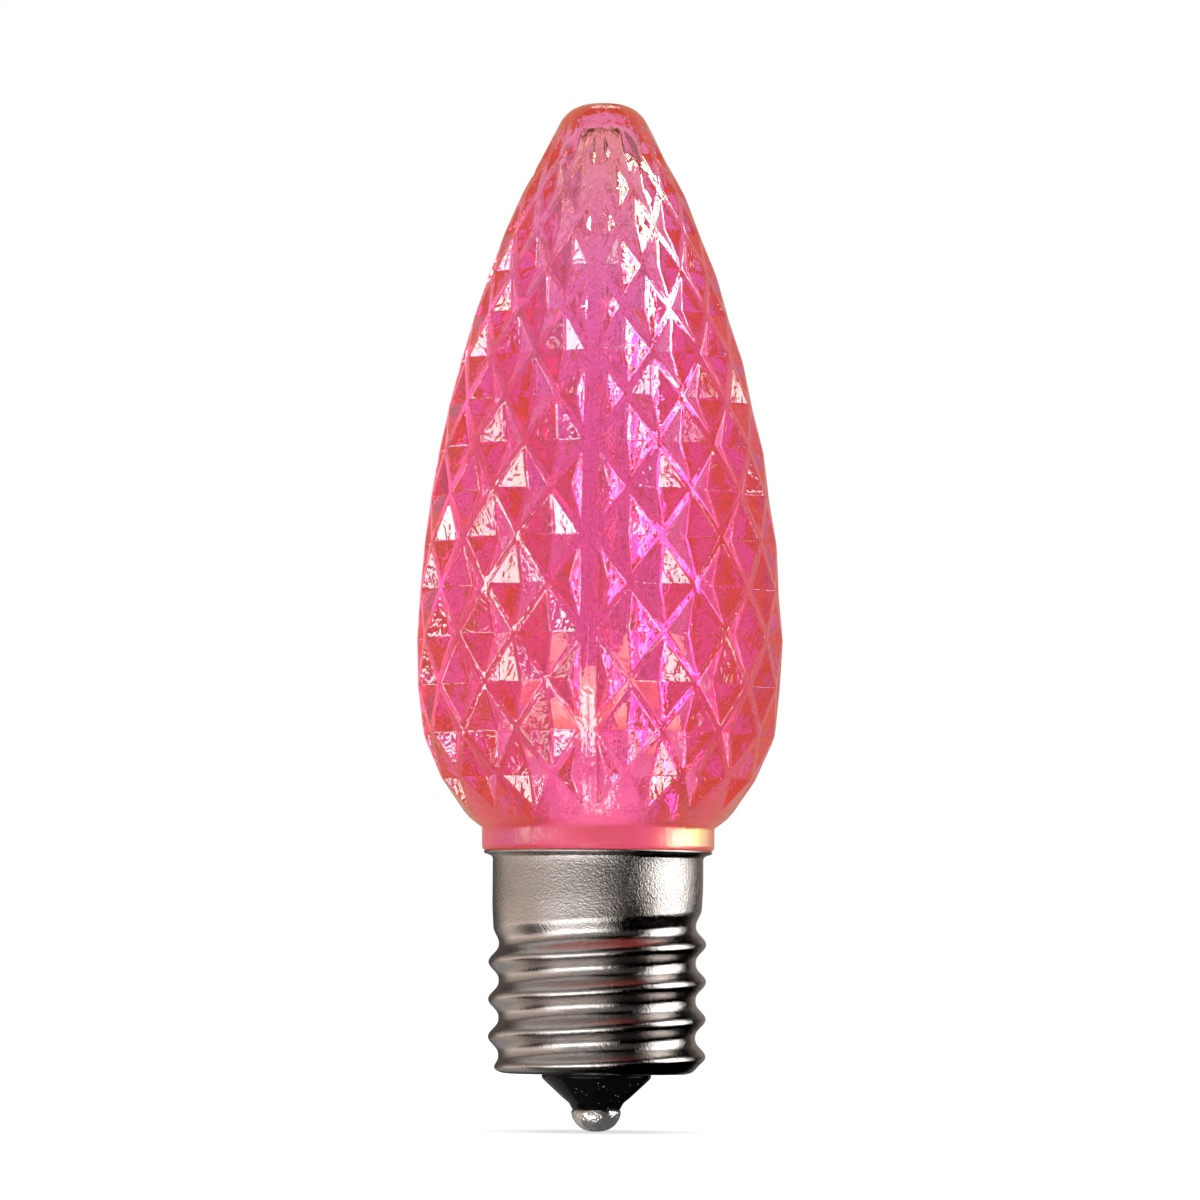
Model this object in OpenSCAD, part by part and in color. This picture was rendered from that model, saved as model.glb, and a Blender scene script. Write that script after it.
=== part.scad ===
// Screw-base decorative light bulb: a faceted, tapering moulded lens over a rolled metal
// screw shell, with a single lamp on a holder inside and its driver in the shell.
// Millimetres. The origin is the lowest point of the centre contact, +Z runs up the bulb's axis,
// and the lens's two moulding seams face -Y and +Y.

/* [Lens] */
// Height of the lens above its collar
lens_h = 55.2; // [52:0.2:58]
// Largest diameter of the lens, over the ribs
lens_d = 27.8; // [26.6:0.2:29]
// Columns of facets on each side, between the two seams
side_cols = 8; // [6:1:10]
// Step from one row of rib crossings to the next, along the widest part of the surface
row_step = 3.63; // [3.2:0.01:4.4]
// Depth of the largest facet pits, below the ribs
pit_depth = 1.2; // [0.4:0.1:1.4]
// Width of the ribs between the pits
rib_w = 0.5; // [0.2:0.05:0.7]
// Angle covered by each seam strip, in degrees
seam_angle = 3.6; // [2:0.2:5]
// Diameter of the collar below the facets
collar_d = 17.6; // [17.2:0.1:17.8]
// Height of the collar
collar_h = 1.7; // [1.2:0.1:2.4]
// Diameter of the neck that goes into the shell
neck_d = 15.2; // [14.8:0.05:15.2]
// Length of the neck below the collar
neck_h = 4.3; // [3:0.1:4.4]
// Diameter of the hollow at the neck
bore_d = 12.2; // [12.2:0.1:12.8]
// Diameter of the hollow near its top
bore_top_d = 10; // [9.6:0.1:10.4]

/* [Screw shell] */
// Diameter over the thread crests
thread_d = 16.46; // [16.2:0.02:16.6]
// Diameter at the thread roots
root_d = 14.9; // [14.8:0.02:15.1]
// Pitch of the thread, nine turns to the inch
pitch = 2.822; // [2.7:0.001:3]
// Diameter of the plain band above the thread
band_d = 15.94; // [15.9:0.02:16]
// Diameter of the flared lip
lip_d = 17.28; // [16.8:0.02:17.5]
// Thickness of the sheet metal
sheet_t = 0.3; // [0.2:0.02:0.32]
// Height of the lip's top above the centre contact
lip_z = 21.2; // [21.2:0.1:22]
// Height of the shell's lower face above the centre contact
shell_z = 4.35; // [4.3:0.01:4.4]

/* [Insulator and contact] */
// Largest diameter of the insulator below the shell
insulator_d = 8.3; // [8.1:0.1:9]
// Diameter of the solder bead on the centre contact
bead_d = 3.8; // [3.7:0.05:3.85]
// Height of the solder bead
bead_h = 1.7; // [1.6:0.05:1.8]

/* [Lamp and driver] */
// Height of the lamp's tip above the centre contact
lamp_tip_z = 35.6; // [34:0.1:38]
// Diameter of the lamp's dome
lamp_d = 4.8; // [4.6:0.1:5]
// Diameter of the holder's disc, under the lamp
disc_d = 9.4; // [8.4:0.1:10]
// Width of the driver board
board_w = 10.6; // [10:0.1:11]
// Height of the driver board
board_h = 9.6; // [9.4:0.1:9.6]

/* [Hidden] */

lens_z = lip_z + collar_h;                 // foot of the faceted body
half_col = (180 - seam_angle) / side_cols / 2;
last_col = 2 * side_cols;
split = 4;                                 // plain segments in each column of the collar

// The lens's outline as [share of the height, share of the largest radius], chosen by eye
outline = [[0, 0.633], [0.02, 0.73], [0.055, 0.833], [0.11, 0.938], [0.165, 0.982], [0.235, 1],
           [0.345, 0.979], [0.455, 0.929], [0.56, 0.852], [0.67, 0.74], [0.78, 0.597],
           [0.87, 0.452], [0.933, 0.318], [0.97, 0.246], [0.985, 0.2]];

// A smooth curve through the outline: a cubic between each two points
function span(u, i = 0) = i >= len(outline) - 2 || u <= outline[i + 1][0] ? i : span(u, i + 1);
function lean(i) = let (a = max(i - 1, 0), b = min(i + 1, len(outline) - 1))
    (outline[b][1] - outline[a][1]) / (outline[b][0] - outline[a][0]);
function share(u) = let (i = span(u), p = outline[i], q = outline[i + 1], w = q[0] - p[0],
        t = (u - p[0]) / w)
    p[1] * (1 + 2 * t) * (1 - t) * (1 - t) + q[1] * t * t * (3 - 2 * t)
    + w * t * (1 - t) * (lean(i) * (1 - t) - lean(i + 1) * t);
function lens_r(z) = lens_d / 2 * share((z - lens_z) / lens_h);

// Rows of rib crossings, stepped along the surface from just above the collar. The step closes up
// a little where the lens is narrow
function grade(z) = lens_r(z + 0.5) - lens_r(z - 0.5);
function row_gap(z) = row_step * (0.82 + 0.36 * lens_r(z + row_step / 2) / lens_d);
function next_row(z) = z + row_gap(z) / sqrt(1 + pow(grade(z + row_step / 2), 2));
all_rows = [for (z = lens_z + 0.75; z < lens_z + 0.982 * lens_h; z = next_row(z)) z];
rows = 2 * floor((len(all_rows) - 1) / 2); // an even number of steps, so both ends alike
row_z = [for (i = [0:rows]) all_rows[i]];

// A point on the axis's circle: angle from -Y towards +X
function on(a, r, z) = [r * sin(a), -r * cos(a), z];
// Angle of half-column j on side s, where s is 1 for +X and -1 for -X
function col_a(s, j) = s * (seam_angle / 2 + j * half_col);
function on_lens(a, z) = on(a, lens_r(z), z);

// One facet pit: four corners, four corners inside the ribs, and the pit's deepest point
function pit(s, i, j) = let (
        cut = j == 0 ? 0.42 : j == last_col ? -0.42 : 0,
        a = col_a(s, j + cut), z = row_z[i],
        corners = [[col_a(s, min(max(j - s, 0), last_col)), z], [col_a(s, j), row_z[i + 1]],
                   [col_a(s, min(max(j + s, 0), last_col)), z], [col_a(s, j), row_z[i - 1]]],
        half_w = lens_r(z) * sin(half_col) * (cut == 0 ? 1 : 0.58),
        half_h = row_step,
        inset = rib_w / 2 * sqrt(half_w * half_w + half_h * half_h) / (half_w * half_h),
        f = min(inset, 0.42),
        deep = pit_depth * lens_r(z) / lens_d * 2 * (cut == 0 ? 1 : 0.62))
    concat([for (c = corners) on_lens(c[0], c[1])],
           [for (c = corners) on_lens(c[0] + f * (a - c[0]), c[1] + f * (z - c[1]))],
           [on(a, lens_r(z) - deep, z)]);

pits = [for (s = [1, -1]) for (i = [1:rows - 1]) for (j = [(i + 1) % 2:2:last_col]) pit(s, i, j)];
pit_faces = [for (n = [0:len(pits) - 1]) for (k = [0:3])
    let (o = 9 * n, m = (k + 1) % 4)
    each [[o + k, o + m, o + 4 + m], [o + k, o + 4 + m, o + 4 + k], [o + 4 + k, o + 4 + m, o + 8]]];

// Angles of the plain rings, with the seam strips' edges among them
ring_a = concat([for (k = [0:last_col * 2]) col_a(1, k / 2)],
                [for (k = [last_col * 2:-1:0]) col_a(-1, k / 2)]);
ring_n = len(ring_a);
// Plain rings below the facets, as [height, radius]
foot = [[row_z[0], lens_r(row_z[0])], [lens_z + 0.35, lens_r(lens_z + 0.35)],
        [lens_z, collar_d / 2], [lip_z + 0.28, collar_d / 2], [lip_z + 0.06, collar_d / 2 - 0.1],
        [lip_z, collar_d / 2 - 0.3], [lip_z, neck_d / 2], [lip_z - neck_h + 0.4, neck_d / 2],
        [lip_z - neck_h, neck_d / 2 - 0.35]];
// Plain rings over the tip
tip_z = lens_z + lens_h;
cap = [for (q = [[0, 1], [0.42, 0.86], [0.68, 0.72], [0.86, 0.545], [0.96, 0.33]])
    [row_z[rows] + q[0] * (tip_z - row_z[rows]), lens_r(row_z[rows]) * q[1]]];

module faceted_body() {
    n_pit = 9 * len(pits);
    o_foot = n_pit;
    o_cap = o_foot + ring_n * len(foot);
    o_strip = o_cap + ring_n * len(cap);
    o_gap = o_strip + 4 * (rows + 1);
    odd = [for (s = [1, -1]) for (j = [1:2:last_col]) [s, j]];
    points = concat(
        [for (p = pits) each p],
        [for (f = foot) for (a = ring_a) on(a, f[1], f[0])],
        [for (c = cap) for (a = ring_a) on(a, c[1], c[0])],
        // The two seam strips' edges, then the crossings beside the plain zones
        [for (i = [0:rows]) each [on_lens(col_a(-1, 0), row_z[i]), on_lens(col_a(1, 0), row_z[i]),
            on_lens(col_a(1, last_col), row_z[i]), on_lens(col_a(-1, last_col), row_z[i])]],
        [for (g = odd) on_lens(col_a(g[0], g[1]), row_z[1])],
        [for (g = odd) on_lens(col_a(g[0], g[1]), row_z[rows - 1])],
        [[0, 0, lip_z - neck_h], [0, 0, tip_z]]);
    end = len(points);
    faces = concat(
        pit_faces,
        // Walls between rings
        [for (k = [0:len(foot) - 2]) for (a = [0:ring_n - 1])
            let (b = (a + 1) % ring_n, u = o_foot + k * ring_n, l = u + ring_n)
            each [[l + a, u + a, u + b], [l + a, u + b, l + b]]],
        [for (k = [0:len(cap) - 2]) for (a = [0:ring_n - 1])
            let (b = (a + 1) % ring_n, l = o_cap + k * ring_n, u = l + ring_n)
            each [[l + a, u + a, u + b], [l + a, u + b, l + b]]],
        // Ends
        [for (a = [0:ring_n - 1]) let (b = (a + 1) % ring_n, l = o_foot + ring_n * (len(foot) - 1))
            [l + a, l + b, end - 2]],
        [for (a = [0:ring_n - 1]) let (b = (a + 1) % ring_n, u = o_cap + ring_n * (len(cap) - 1))
            [u + b, u + a, end - 1]],
        // Seam strips
        [for (i = [0:rows - 1]) for (q = [0, 2]) let (l = o_strip + 4 * i + q, u = l + 4)
            each [[l, u, u + 1], [l, u + 1, l + 1]]],
        // Plain triangles between the lowest pits, and between the highest
        [for (g = [0:len(odd) - 1]) for (k = [0:split - 1])
            let (s = odd[g][0], j = odd[g][1],
                 a = s > 0 ? 2 * (j - 1) + k : ring_n - 1 - 2 * (j + 1) + k)
            each [[o_gap + g, o_foot + a + 1, o_foot + a],
                  [o_gap + len(odd) + g, o_cap + a, o_cap + a + 1]]]);
    polyhedron(points, faces, convexity = 8);
}

// The smooth hollow, drawn so that its core can be pulled out through the neck
module hollow() {
    b = bore_d / 2;
    t = bore_top_d / 2;
    rotate_extrude($fn = 72)
        polygon([[0, lip_z - neck_h - 1], [b, lip_z - neck_h - 1], [b, lip_z + 1],
                 [t + 0.6, lens_z + 0.22 * lens_h], [t, lens_z + 0.66 * lens_h],
                 [t * 0.9, lens_z + 0.76 * lens_h], [t * 0.72, lens_z + 0.85 * lens_h],
                 [t * 0.46, lens_z + 0.92 * lens_h], [t * 0.24, lens_z + 0.95 * lens_h],
                 [0, lens_z + 0.957 * lens_h]]);
}

module lens() {
    color([0.93, 0.36, 0.42, 0.6])
    difference() {
        faceted_body();
        hollow();
        // Groove in the neck for the wire to the shell
        translate([-neck_d / 2 - 0.2, -0.4, lip_z - neck_h - 0.5]) cube([1, 0.8, neck_h - 0.3]);
    }
}

// Height of the crest at angle a, on the lowest turn
function crest_z(a) = 4.967 + pitch * a / 360;
function ease(t) = let (c = min(max(t, 0), 1)) c * c * (3 - 2 * c);
// The rolled thread's outer radius, which fades into the band above and the turned-in edge below
function thread_r(a, z) = let (
        c = pow(0.5 + 0.5 * cos(360 * (z - crest_z(a)) / pitch), 1.2),
        r = root_d / 2 + (thread_d - root_d) / 2 * c,
        lower = root_d / 2 + 0.05,
        r1 = lower + (r - lower) * ease((z - 3.9) / 1.6))
    band_d / 2 + (r1 - band_d / 2) * ease((16.5 - z) / 1.5);

module screw_shell() {
    sides = 40;
    b = band_d / 2;
    l = lip_d / 2;
    e = sheet_t;
    turns = [for (z = 5; z < 16.4; z = z + pitch / 9) z];
    // Rings round the sheet's whole section: [height, radius, 1 if the thread is added]
    section = concat(
        [[shell_z, 3.9, 0], [shell_z, 6.8, 0], [shell_z + 0.1, -0.35, 1], [shell_z + 0.33, -0.08, 1]],
        [for (z = turns) [z, 0, 1]],
        [[16.9, b, 0], [lip_z - 0.6, b, 0], [lip_z - 0.4, b + 0.14, 0], [lip_z - 0.26, b + 0.45, 0],
         [lip_z - 0.2, l, 0], [lip_z, l, 0], [lip_z, l - 0.28, 0], [lip_z - 0.14, b - 0.02, 0],
         [lip_z - 0.4, b - e + 0.02, 0], [lip_z - 0.6, b - e, 0], [16.9, b - e, 0]],
        [for (i = [len(turns) - 1:-1:0]) [turns[i], -e, 1]],
        [[shell_z + e, 6.7, 0], [shell_z + e, 3.9, 0]]);
    rings = len(section);
    points = [for (q = section) for (k = [0:sides - 1]) let (a = 360 * k / sides)
        on(a, q[2] == 1 ? thread_r(a, q[0]) + q[1] : q[1], q[0])];
    faces = [for (i = [0:rings - 1]) for (k = [0:sides - 1])
        let (m = (k + 1) % sides, lo = i * sides, up = ((i + 1) % rings) * sides)
        each [[lo + k, up + k, up + m], [lo + k, up + m, lo + m]]];
    color([0.62, 0.59, 0.57]) polyhedron(points, faces, convexity = 10);
}

module insulator() {
    r = insulator_d / 2;
    color([0.04, 0.04, 0.05])
    rotate_extrude($fn = 64)
        polygon([[0.8, bead_h], [1.84, bead_h], [1.97, bead_h + 0.25], [2.1, bead_h + 0.5],
                 [2.5, bead_h + 0.8], [r - 0.15, shell_z - 0.45],
                 [r, shell_z - 0.25], [r - 0.03, shell_z - 0.06], [r - 0.15, shell_z],
                 [3.8, shell_z], [3.8, shell_z + sheet_t], [6.2, shell_z + sheet_t],
                 [6.4, shell_z + sheet_t + 0.25], [6.4, shell_z + 1.4], [6.1, shell_z + 1.7],
                 [0.8, shell_z + 1.7]]);
}

module contact_eyelet() {
    color([0.78, 0.62, 0.32])
    rotate_extrude($fn = 48)
        polygon([[0.45, bead_h - 0.25], [1.6, bead_h - 0.25], [1.6, bead_h], [0.8, bead_h],
                 [0.8, shell_z + 1.7], [1.2, shell_z + 1.7], [1.2, shell_z + 1.9],
                 [0.45, shell_z + 1.9]]);
}

module contact_solder() {
    r = bead_d / 2;
    color([0.72, 0.72, 0.72])
    rotate_extrude($fn = 48)
        polygon([[0, 0], [0.25 * r, 0.03], [0.5 * r, 0.15], [0.71 * r, 0.38], [0.86 * r, 0.7],
                 [0.95 * r, 1.05], [r, 1.35], [r, 1.5], [0.96 * r, bead_h], [1.6, bead_h],
                 [1.6, bead_h - 0.25], [0, bead_h - 0.25]]);
}

lamp_z = lamp_tip_z - 4.6;   // foot of the lamp, on the holder's disc
lead_x = 1.27;
board_z = shell_z + 3.05;    // lower edge of the driver board
board_top = board_z + board_h;

module led_holder() {
    foot_z = lip_z - 3.6;
    color([0.95, 0.95, 0.93])
    difference() {
        union() {
            translate([0, 0, foot_z]) cylinder(h = 3, d = bore_d - 0.2, $fn = 72);
            for (s = [1, -1]) translate([s > 0 ? 3 : -4.3, -1.1, foot_z])
                cube([1.3, 2.2, lamp_z - foot_z - 0.5]);
            translate([0, 0, lamp_z - 1]) cylinder(h = 1, d = disc_d, $fn = 72);
        }
        translate([0, 0, foot_z - 1]) cylinder(h = 5, d = bore_d - 4.6, $fn = 72);
        for (x = [-lead_x, lead_x]) translate([x, 0, lamp_z - 2]) cylinder(h = 3, d = 0.8, $fn = 24);
        translate([0, 0, lamp_z - 0.3]) difference() {
            cylinder(h = 1, d = disc_d + 1, $fn = 72);
            translate([0, 0, -1]) cylinder(h = 3, d = disc_d - 0.8, $fn = 72);
        }
    }
}

module led_anode() {
    color([0.8, 0.78, 0.74]) {
        translate([lead_x, 0, board_top - 1.4]) cylinder(h = lamp_z + 1.6 - board_top + 1.4, d = 0.5, $fn = 24);
        translate([lead_x - 0.35, -0.3, lamp_z + 1.1]) cube([0.7, 0.6, 1]);
    }
}

module led_cathode() {
    color([0.8, 0.78, 0.74])
    difference() {
        union() {
            translate([-lead_x, 0, board_top - 1.4]) cylinder(h = lamp_z + 1.6 - board_top + 1.4, d = 0.5, $fn = 24);
            translate([-lead_x - 0.35, -0.3, lamp_z + 0.9]) cube([1.6, 0.6, 0.5]);
            translate([0, 0, lamp_z + 1.2]) cylinder(h = 0.9, d = 1.5, $fn = 32);
        }
        translate([0, 0, lamp_z + 1.7]) cylinder(h = 0.5, d1 = 0.7, d2 = 1.2, $fn = 32);
    }
}

module led_chip() {
    color([0.9, 0.85, 0.3]) translate([-0.16, -0.16, lamp_z + 1.7]) cube([0.32, 0.32, 0.16]);
}

// A round wire through a list of points
function unit(v) = v / norm(v);
function heading(p, i) = let (n = len(p) - 1)
    i == 0 ? unit(p[1] - p[0]) : i == n ? unit(p[n] - p[n - 1])
    : unit(unit(p[i] - p[i - 1]) + unit(p[i + 1] - p[i]));
module wire(p, d, side = [0, 1, 0], sides = 10) {
    n = len(p);
    points = [for (i = [0:n - 1])
        let (h = heading(p, i), u = unit(cross(h, side)), v = cross(h, u))
        for (k = [0:sides - 1]) p[i] + d / 2 * (u * cos(360 * k / sides) + v * sin(360 * k / sides))];
    faces = concat([[for (k = [0:sides - 1]) k]],
        [for (i = [0:n - 2]) for (k = [0:sides - 1]) let (m = (k + 1) % sides, o = i * sides)
            each [[o + k, o + sides + k, o + sides + m], [o + k, o + sides + m, o + m]]],
        [[for (k = [sides - 1:-1:0]) (n - 1) * sides + k]]);
    polyhedron(points, faces, convexity = 4);
}

module led_bond_wire() {
    z = lamp_z;
    color([0.95, 0.8, 0.35])
        wire([[0, 0, z + 1.86], [0, 0, z + 2.1], [0.15, 0, z + 2.4], [0.5, 0, z + 2.6], [0.9, 0, z + 2.55],
              [1.2, 0, z + 2.3], [1.27, 0, z + 2.1]], 0.08, sides = 6);
}

module led_body() {
    r = lamp_d / 2;
    color([1, 0.85, 0.92, 0.6])
    difference() {
        rotate_extrude($fn = 64)
            polygon(concat([[0, lamp_z], [r + 0.4, lamp_z], [r + 0.4, lamp_z + 0.9], [r, lamp_z + 0.9],
                            [r, lamp_tip_z - 2.1]],
                [for (a = [15:15:90]) [r * cos(a), lamp_tip_z - 2.1 + 2.1 * sin(a)]]));
        led_anode();
        led_cathode();
        led_chip();
        translate([0, 0, lamp_z + 1.7]) cylinder(h = 0.5, d1 = 0.7, d2 = 1.2, $fn = 32);
        led_bond_wire();
    }
}

module driver_board() {
    color([0.1, 0.45, 0.25])
    translate([-board_w / 2, -0.5, board_z]) difference() {
        cube([board_w, 1, board_h]);
        // Slots at the top edge for the lamp's leads
        for (x = [-lead_x, lead_x]) translate([board_w / 2 + x - 0.3, -1, board_h - 1.4]) cube([0.6, 3, 3]);
    }
}

module bridge_rectifier() {
    color([0.12, 0.12, 0.13]) {
        translate([-4.9, -2.9, board_z + 5.4]) cube([4.7, 2.2, 3.9]);
        for (x = [-4.3, -1.8]) for (z = [board_z + 5.0, board_z + 9.1])
            translate([x, -1, z]) cube([0.7, 0.5, 0.4]);
    }
}

module dropper_capacitor() {
    color([0.85, 0.72, 0.15]) {
        translate([-3.6, 0.9, board_z + 0.2]) cube([7.2, 3.5, 7.5]);
        for (x = [-2.5, 2.5]) translate([x, 1, board_z + 3]) rotate([90, 0, 0]) cylinder(h = 0.5, d = 0.6, $fn = 24);
    }
}

module smoothing_capacitor() {
    color([0.15, 0.15, 0.3]) {
        translate([2.7, -2.75, board_z + 3.9]) cylinder(h = 5, d = 4, $fn = 48);
        for (z = [board_z + 5, board_z + 7.5]) translate([2.7, -0.5, z]) rotate([90, 0, 0]) cylinder(h = 0.5, d = 0.5, $fn = 24);
    }
}

module bleed_resistor() {
    color([0.1, 0.1, 0.1]) translate([-4.4, -1.05, board_z + 3.2]) cube([3.2, 0.55, 1.6]);
}

module surge_resistor() {
    z = board_z + 1.5;
    color([0.75, 0.65, 0.5]) {
        translate([-3.15, -1.9, z]) rotate([0, 90, 0]) cylinder(h = 6.3, d = 2.3, $fn = 48);
        translate([-4.1, -1.9, z]) rotate([0, 90, 0]) cylinder(h = 8.2, d = 0.5, $fn = 24);
        translate([-4.1, -0.5, z]) rotate([90, 0, 0]) cylinder(h = 1.4, d = 0.5, $fn = 24);
    }
}

module contact_wire() {
    color([0.75, 0.35, 0.2])
        wire([[0, 0, bead_h - 0.2], [0, 0, shell_z + 2.1], [1, -1, shell_z + 2.6], [3.6, -1.9, shell_z + 2.9],
              [4.36, -1.9, board_z + 0.6], [4.36, -1.9, board_z + 1.5], [4.36, -1.9, board_z + 1.9]], 0.5);
}

module shell_wire() {
    x = neck_d / 2 - 0.36;
    z = lip_z - neck_h;
    color([0.75, 0.75, 0.72])
        wire([[-4.6, 0.78, z - 2.2], [-5.3, 0.75, z - 1.7], [-6.4, 0.3, z - 1], [-x + 0.15, 0, z - 0.4],
              [-x, 0, z + 0.4], [-x, 0, z + 3.2]], 0.5, side = [0, 1, 0.01]);
}

lens();
screw_shell();
insulator();
contact_eyelet();
contact_solder();
led_holder();
led_body();
led_chip();
led_anode();
led_cathode();
led_bond_wire();
driver_board();
bridge_rectifier();
dropper_capacitor();
smoothing_capacitor();
bleed_resistor();
surge_resistor();
contact_wire();
shell_wire();
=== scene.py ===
"""A faceted pink decorative light bulb on a nickel screw base, in a plain pale studio."""
import math

import bpy
import numpy as np
from mathutils import Matrix, Vector


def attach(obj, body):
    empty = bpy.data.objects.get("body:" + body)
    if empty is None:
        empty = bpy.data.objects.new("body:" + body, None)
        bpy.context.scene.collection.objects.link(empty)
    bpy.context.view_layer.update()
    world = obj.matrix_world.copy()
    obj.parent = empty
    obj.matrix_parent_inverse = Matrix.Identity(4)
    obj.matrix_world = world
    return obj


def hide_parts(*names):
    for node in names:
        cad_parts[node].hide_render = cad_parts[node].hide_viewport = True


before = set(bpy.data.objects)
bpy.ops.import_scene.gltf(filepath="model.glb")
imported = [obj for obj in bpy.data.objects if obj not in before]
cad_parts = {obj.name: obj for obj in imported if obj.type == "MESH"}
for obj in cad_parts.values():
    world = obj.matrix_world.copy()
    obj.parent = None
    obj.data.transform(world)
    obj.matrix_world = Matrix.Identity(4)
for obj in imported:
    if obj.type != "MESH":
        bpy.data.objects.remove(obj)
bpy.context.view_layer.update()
MM = 0.001

# ---------------------------------------------------------------- shape rules, in millimetres
LIP_Z, COLLAR_H, LENS_H, LENS_D = 21.2, 1.7, 55.2, 27.8
LENS_Z = LIP_Z + COLLAR_H
TIP_Z = LENS_Z + LENS_H
COLS, SEAM, ROW_STEP = 8, 3.6, 3.63
HALF_COL = (180 - SEAM) / COLS / 2
LAST = 2 * COLS
PIT_DEPTH, RIB_W = 1.2, 0.43
OUTLINE = [(0, 0.633), (0.02, 0.73), (0.055, 0.833), (0.11, 0.938), (0.165, 0.982), (0.235, 1),
           (0.345, 0.979), (0.455, 0.929), (0.56, 0.852), (0.67, 0.74), (0.78, 0.597),
           (0.87, 0.452), (0.933, 0.318), (0.97, 0.246), (0.985, 0.2)]


def smooth_curve(points, u):
    """A cubic through each two of the points, with the slope at each taken from its neighbours."""
    last = len(points) - 1
    i = 0
    while i < last - 1 and u > points[i + 1][0]:
        i += 1

    def lean(k):
        a, b = max(k - 1, 0), min(k + 1, last)
        return (points[b][1] - points[a][1]) / (points[b][0] - points[a][0])

    (x0, y0), (x1, y1) = points[i], points[i + 1]
    w = x1 - x0
    t = (u - x0) / w
    return (y0 * (1 + 2 * t) * (1 - t) ** 2 + y1 * t * t * (3 - 2 * t)
            + w * t * (1 - t) * (lean(i) * (1 - t) - lean(i + 1) * t))


def lens_r(z):
    return LENS_D / 2 * smooth_curve(OUTLINE, (z - LENS_Z) / LENS_H)


def grade(z):
    return lens_r(z + 0.5) - lens_r(z - 0.5)


row_z = []
z = LENS_Z + 0.75
while z < LENS_Z + 0.982 * LENS_H:
    row_z.append(z)
    mid = z + ROW_STEP / 2
    z += ROW_STEP * (0.82 + 0.36 * lens_r(mid) / LENS_D) / math.sqrt(1 + grade(mid) ** 2)
ROWS = 2 * ((len(row_z) - 1) // 2)


def on(a, r, z):
    a = math.radians(a)
    return np.array((r * math.sin(a), -r * math.cos(a), z))


def col_a(s, j):
    return s * (SEAM / 2 + j * HALF_COL)


def on_lens(a, z):
    return on(a, lens_r(z), z)


# ---------------------------------------------------------------- mesh helpers
def make_piece(name, verts, faces, material, replaces=(), smooth=True, merge=0.0, sharp=None):
    me = bpy.data.meshes.new(name)
    me.from_pydata([tuple(np.asarray(v) * MM) for v in verts], [], faces)
    me.validate()
    if merge:
        import bmesh
        bm = bmesh.new()
        bm.from_mesh(me)
        bmesh.ops.remove_doubles(bm, verts=bm.verts, dist=merge * MM)
        bmesh.ops.recalc_face_normals(bm, faces=bm.faces)
        bm.to_mesh(me)
        bm.free()
    me.polygons.foreach_set("use_smooth", [smooth] * len(me.polygons))
    if sharp is not None:
        me.set_sharp_from_angle(angle=math.radians(sharp))
    me.materials.append(material)
    o = bpy.data.objects.new(name, me)
    bpy.context.scene.collection.objects.link(o)
    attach(o, "root")
    if replaces:
        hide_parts(*replaces)
    return o


def ring_faces(n, rows, start=0, flip=False):
    out = []
    for k in range(rows - 1):
        for a in range(n):
            b = (a + 1) % n
            q = (start + k * n + a, start + k * n + b, start + (k + 1) * n + b, start + (k + 1) * n + a)
            out.append(q[::-1] if flip else q)
    return out


def lathe(name, profile, material, replaces=(), segs=128, sharp=35, wobble=None):
    """A turned piece: profile runs from the axis or an open ring, as (radius, height)."""
    verts, faces = [], []
    rings = []
    for r, h in profile:
        if r < 1e-6:
            verts.append((0, 0, h))
            rings.append([len(verts) - 1])
        else:
            ids = []
            for k in range(segs):
                a = 360 * k / segs
                p = on(a, r, h)
                if wobble:
                    p = wobble(p, a, r, h)
                verts.append(p)
                ids.append(len(verts) - 1)
            rings.append(ids)
    pairs = list(zip(rings, rings[1:]))
    if len(rings[0]) > 1 and len(rings[-1]) > 1:
        pairs.append((rings[-1], rings[0]))
    for lo, up in pairs:
        for k in range(segs):
            m = (k + 1) % segs
            if len(lo) == 1:
                faces.append((lo[0], up[m], up[k]))
            elif len(up) == 1:
                faces.append((lo[k], lo[m], up[0]))
            else:
                faces.append((lo[k], lo[m], up[m], up[k]))
    return make_piece(name, verts, faces, material, replaces, merge=1e-5, sharp=sharp)


# ---------------------------------------------------------------- materials
def new_material(name):
    m = bpy.data.materials.new(name)
    m.use_nodes = True
    nt = m.node_tree
    nt.nodes.clear()
    out = nt.nodes.new("ShaderNodeOutputMaterial")
    return m, nt, out


def principled(nt, **values):
    b = nt.nodes.new("ShaderNodeBsdfPrincipled")
    for k, v in values.items():
        b.inputs[k.replace("_", " ")].default_value = v
    return b


def coords(nt):
    return nt.nodes.new("ShaderNodeTexCoord").outputs["Object"]


def noise(nt, scale, detail=2.0, rough=0.5, vector=None, stretch=None, swirl=0.0):
    n = nt.nodes.new("ShaderNodeTexNoise")
    n.inputs["Distortion"].default_value = swirl
    n.inputs["Scale"].default_value = scale
    n.inputs["Detail"].default_value = detail
    n.inputs["Roughness"].default_value = rough
    v = vector or coords(nt)
    if stretch:
        mp = nt.nodes.new("ShaderNodeMapping")
        mp.inputs["Scale"].default_value = stretch
        nt.links.new(v, mp.inputs["Vector"])
        v = mp.outputs["Vector"]
    nt.links.new(v, n.inputs["Vector"])
    return n.outputs["Fac"]


def ramp(nt, fac, stops):
    r = nt.nodes.new("ShaderNodeValToRGB")
    r.color_ramp.elements[0].position, r.color_ramp.elements[0].color = stops[0][0], (*stops[0][1], 1)
    r.color_ramp.elements[1].position, r.color_ramp.elements[1].color = stops[-1][0], (*stops[-1][1], 1)
    for pos, col in stops[1:-1]:
        e = r.color_ramp.elements.new(pos)
        e.color = (*col, 1)
    nt.links.new(fac, r.inputs["Fac"])
    return r.outputs["Color"]


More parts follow.
